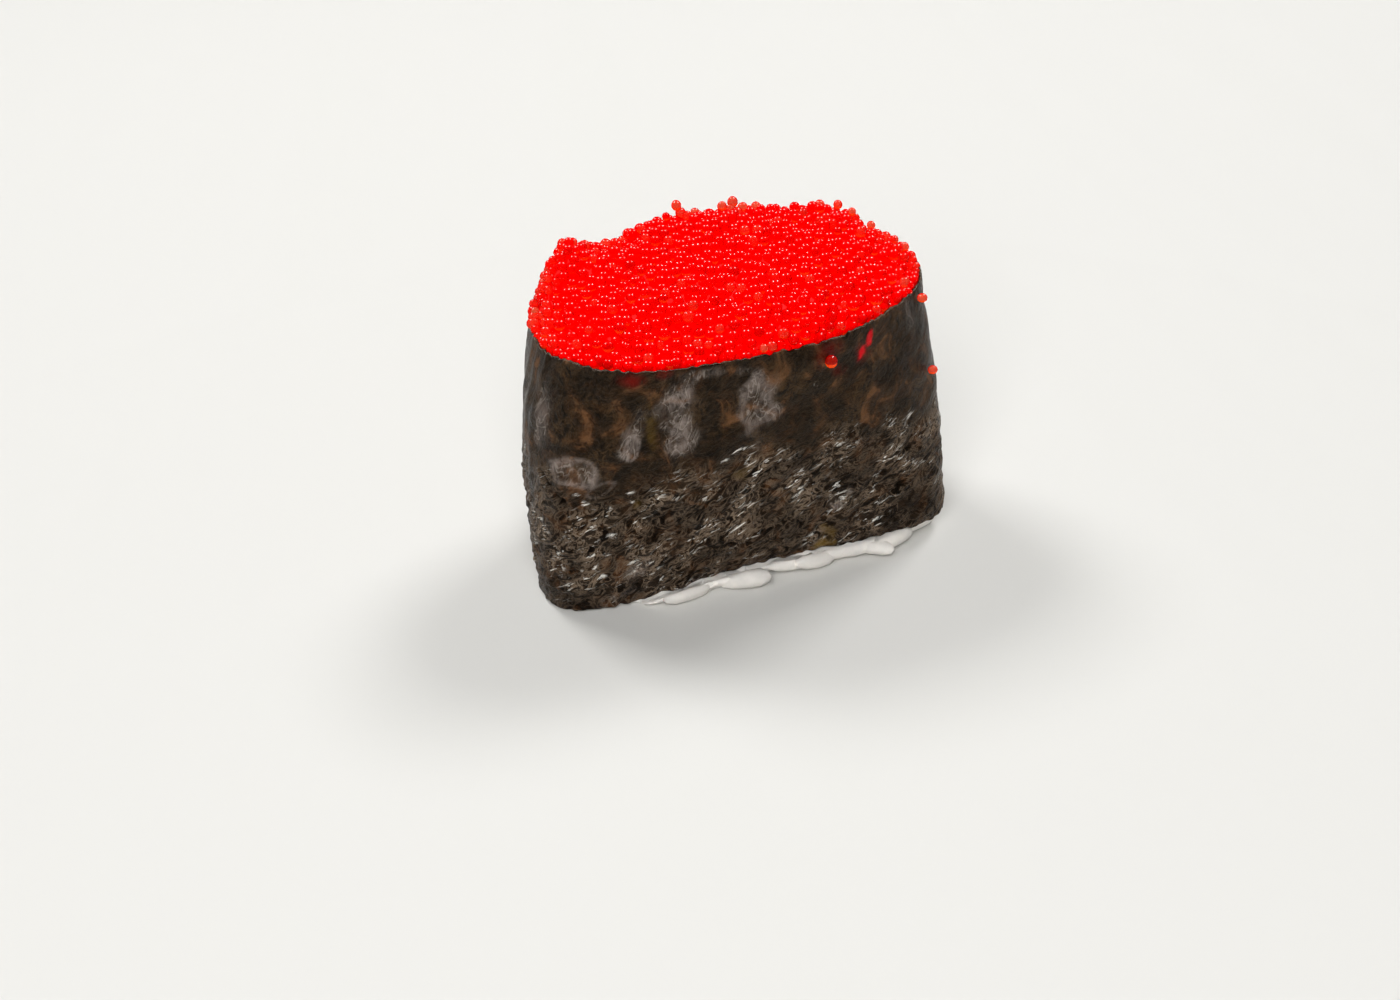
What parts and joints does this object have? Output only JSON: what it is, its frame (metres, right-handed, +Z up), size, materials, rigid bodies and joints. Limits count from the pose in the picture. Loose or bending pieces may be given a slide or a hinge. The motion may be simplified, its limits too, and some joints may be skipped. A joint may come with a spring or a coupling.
{
  "type": "flying fish roe gunkan sushi",
  "caption": "Gunkan sushi: a pressed rice block wrapped in a standing band of nori and heaped with small red flying fish roe.",
  "frame": {"origin": "on the floor, under the middle of the box round the whole piece", "axes": "+X along the length, -Y the side that the picture shows, +Z up"},
  "size_m": [0.0546, 0.033, 0.0382],
  "materials": {
    "rice": "moist cooked rice, white and slightly translucent",
    "nori": "toasted seaweed sheet, near black, fibrous with small glints",
    "roe": "wet translucent red eggs"
  },
  "bodies": {
    "root": {"rice": "rice", "nori": "nori", "roe": "roe"}
  },
  "joints": []
}
